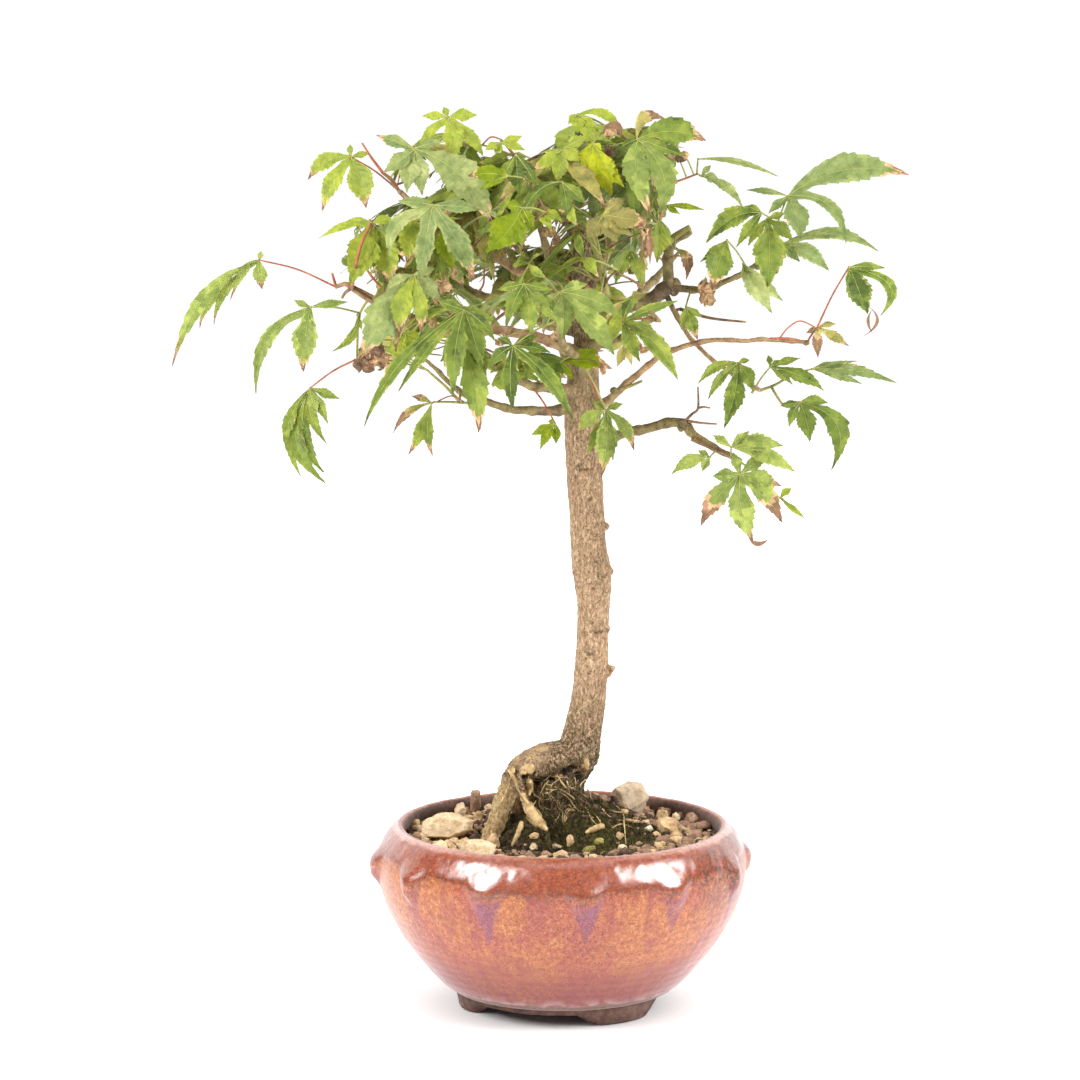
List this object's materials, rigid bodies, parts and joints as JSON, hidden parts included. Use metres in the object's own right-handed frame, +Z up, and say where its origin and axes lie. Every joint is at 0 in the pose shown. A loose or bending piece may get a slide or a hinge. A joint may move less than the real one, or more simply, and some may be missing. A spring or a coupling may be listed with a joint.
{
  "type": "bonsai japanese maple in a round glazed pot",
  "caption": "Bonsai Japanese maple with a slim leaning trunk, exposed roots and an open leafy crown, in a round copper-red glazed pot on feet.",
  "frame": {"origin": "middle of the underside of the whole box, on the surface that the pot's feet stand on", "axes": "+Z up, -Y towards the front of the tree, +X to its right as seen from the front"},
  "size_m": [0.2298, 0.1594, 0.282],
  "materials": {
    "glazed_pot": "mottled copper-red gloss glaze with purple drips over a bare brown clay foot",
    "clay": "bare fired clay, matt",
    "soil": "damp dark crumbly potting grit with moss",
    "stone": "rough pale pumice and gravel",
    "bark": "fine dry bark with small dark pores",
    "root": "pale exposed root bark, stained by soil",
    "bough": "smooth green and brown young bark",
    "leaf": "thin satin leaves with veins and scorched tips"
  },
  "bodies": {
    "root": {"bough_back": "bough", "bough_back_left": "bough", "bough_back_right": "bough", "bough_back_top": "bough", "bough_front": "bough", "bough_front_left": "bough", "bough_front_right": "bough", "bough_low_left": "bough", "bough_low_right": "bough", "bough_mid_left": "bough", "bough_mid_right": "bough", "bough_right": "bough", "bough_right_lower": "bough", "bough_right_upper": "bough", "bough_upper_left": "bough", "foliage_back": "leaf", "foliage_back_left": "leaf", "foliage_back_low": "leaf", "foliage_back_right": "leaf", "foliage_back_top": "leaf", "foliage_centre_left": "leaf", "foliage_drop_left": "leaf", "foliage_far_left": "leaf", "foliage_front": "leaf", "foliage_front_low": "leaf", "foliage_front_right": "leaf", "foliage_left": "leaf", "foliage_left_tip": "leaf", "foliage_low_left": "leaf", "foliage_lower_left": "leaf", "foliage_right_end": "leaf", "foliage_right_far": "leaf", "foliage_right_inner": "leaf", "foliage_right_low": "leaf", "foliage_right_outer": "leaf", "foliage_right_tip": "leaf", "foliage_right_upper": "leaf", "foliage_top_centre": "leaf", "foliage_top_left": "leaf", "foliage_top_right": "leaf", "foliage_trunk_front": "leaf", "foliage_upper_left": "leaf", "leader_left": "bough", "leader_right": "bough", "pot": "glazed_pot", "root_back": "root", "root_front": "root", "root_left": "root", "soil": "soil", "stone_brown": "stone", "stone_front": "stone", "stone_grey": "stone", "stone_pale": "stone", "stone_tan": "stone", "stub_right": "bough", "trunk": "bark"}
  },
  "joints": []
}
